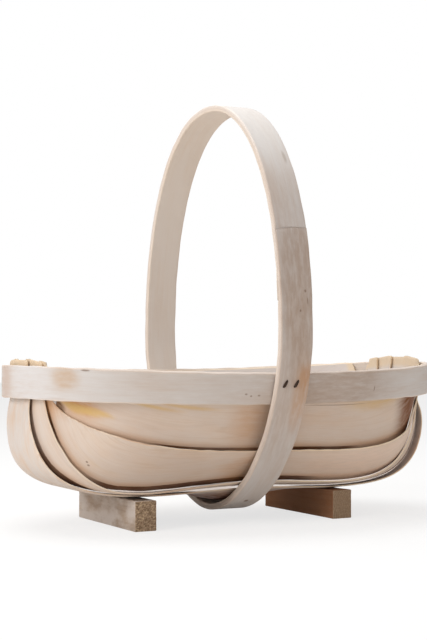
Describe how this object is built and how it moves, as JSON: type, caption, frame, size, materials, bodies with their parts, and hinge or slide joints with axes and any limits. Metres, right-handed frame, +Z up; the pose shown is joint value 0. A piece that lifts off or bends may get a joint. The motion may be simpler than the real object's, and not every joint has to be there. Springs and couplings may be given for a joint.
{
  "type": "garden trug",
  "caption": "Boat-shaped garden basket of overlapping bent wooden boards nailed inside a bent rim, with a hoop handle passing under the hull and two block feet.",
  "frame": {"origin": "on the ground below the middle of the rim", "axes": "+X along the trug to its higher end, +Y across it to the back, +Z up"},
  "size_m": [0.4612, 0.293, 0.4165],
  "materials": {
    "whitewashed_band": "thin worn whitewash over bent ash or chestnut, matte",
    "pale_board": "bare weathered willow board, matte",
    "sawn_foot": "sawn block with a thin wash, matte",
    "dull_nail": "dull, slightly rusty steel"
  },
  "bodies": {
    "root": {"bilge_board_back": "pale_board", "bilge_board_front": "pale_board", "centre_board": "pale_board", "end_nail_left_1": "dull_nail", "end_nail_left_2": "dull_nail", "end_nail_left_3": "dull_nail", "end_nail_left_4": "dull_nail", "end_nail_left_5": "dull_nail", "end_nail_left_6": "dull_nail", "end_nail_right_1": "dull_nail", "end_nail_right_2": "dull_nail", "end_nail_right_3": "dull_nail", "end_nail_right_4": "dull_nail", "end_nail_right_5": "dull_nail", "end_nail_right_6": "dull_nail", "foot_left": "sawn_foot", "foot_nail_left_1": "dull_nail", "foot_nail_left_2": "dull_nail", "foot_nail_right_1": "dull_nail", "foot_nail_right_2": "dull_nail", "foot_right": "sawn_foot", "handle_hoop": "whitewashed_band", "handle_nail_back_1": "dull_nail", "handle_nail_back_2": "dull_nail", "handle_nail_front_1": "dull_nail", "handle_nail_front_2": "dull_nail", "rim_band": "whitewashed_band", "side_board_back": "pale_board", "side_board_front": "pale_board", "side_nail_back_1": "dull_nail", "side_nail_back_2": "dull_nail", "side_nail_back_3": "dull_nail", "side_nail_back_4": "dull_nail", "side_nail_front_1": "dull_nail", "side_nail_front_2": "dull_nail", "side_nail_front_3": "dull_nail", "side_nail_front_4": "dull_nail", "top_board_back": "pale_board", "top_board_front": "pale_board"}
  },
  "joints": []
}
